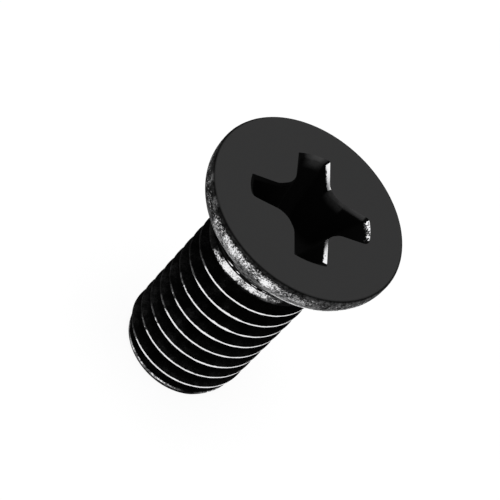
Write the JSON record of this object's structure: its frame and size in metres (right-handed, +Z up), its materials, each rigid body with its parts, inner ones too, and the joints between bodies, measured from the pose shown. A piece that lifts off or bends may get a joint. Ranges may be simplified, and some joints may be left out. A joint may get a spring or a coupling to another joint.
{
  "type": "countersunk machine screw",
  "caption": "Countersunk mudguard screw with a flat head, a cross recess and a right-hand machine thread up to a short neck under the head.",
  "frame": {"origin": "centre of the blunt end face, on which the screw stands", "axes": "+Z up the shank to the head face; +X and +Y along the wings of the cross recess"},
  "size_m": [0.0082, 0.0082, 0.0104],
  "materials": {
    "blackened_steel": "satin"
  },
  "bodies": {
    "root": {"screw": "blackened_steel"}
  },
  "joints": []
}
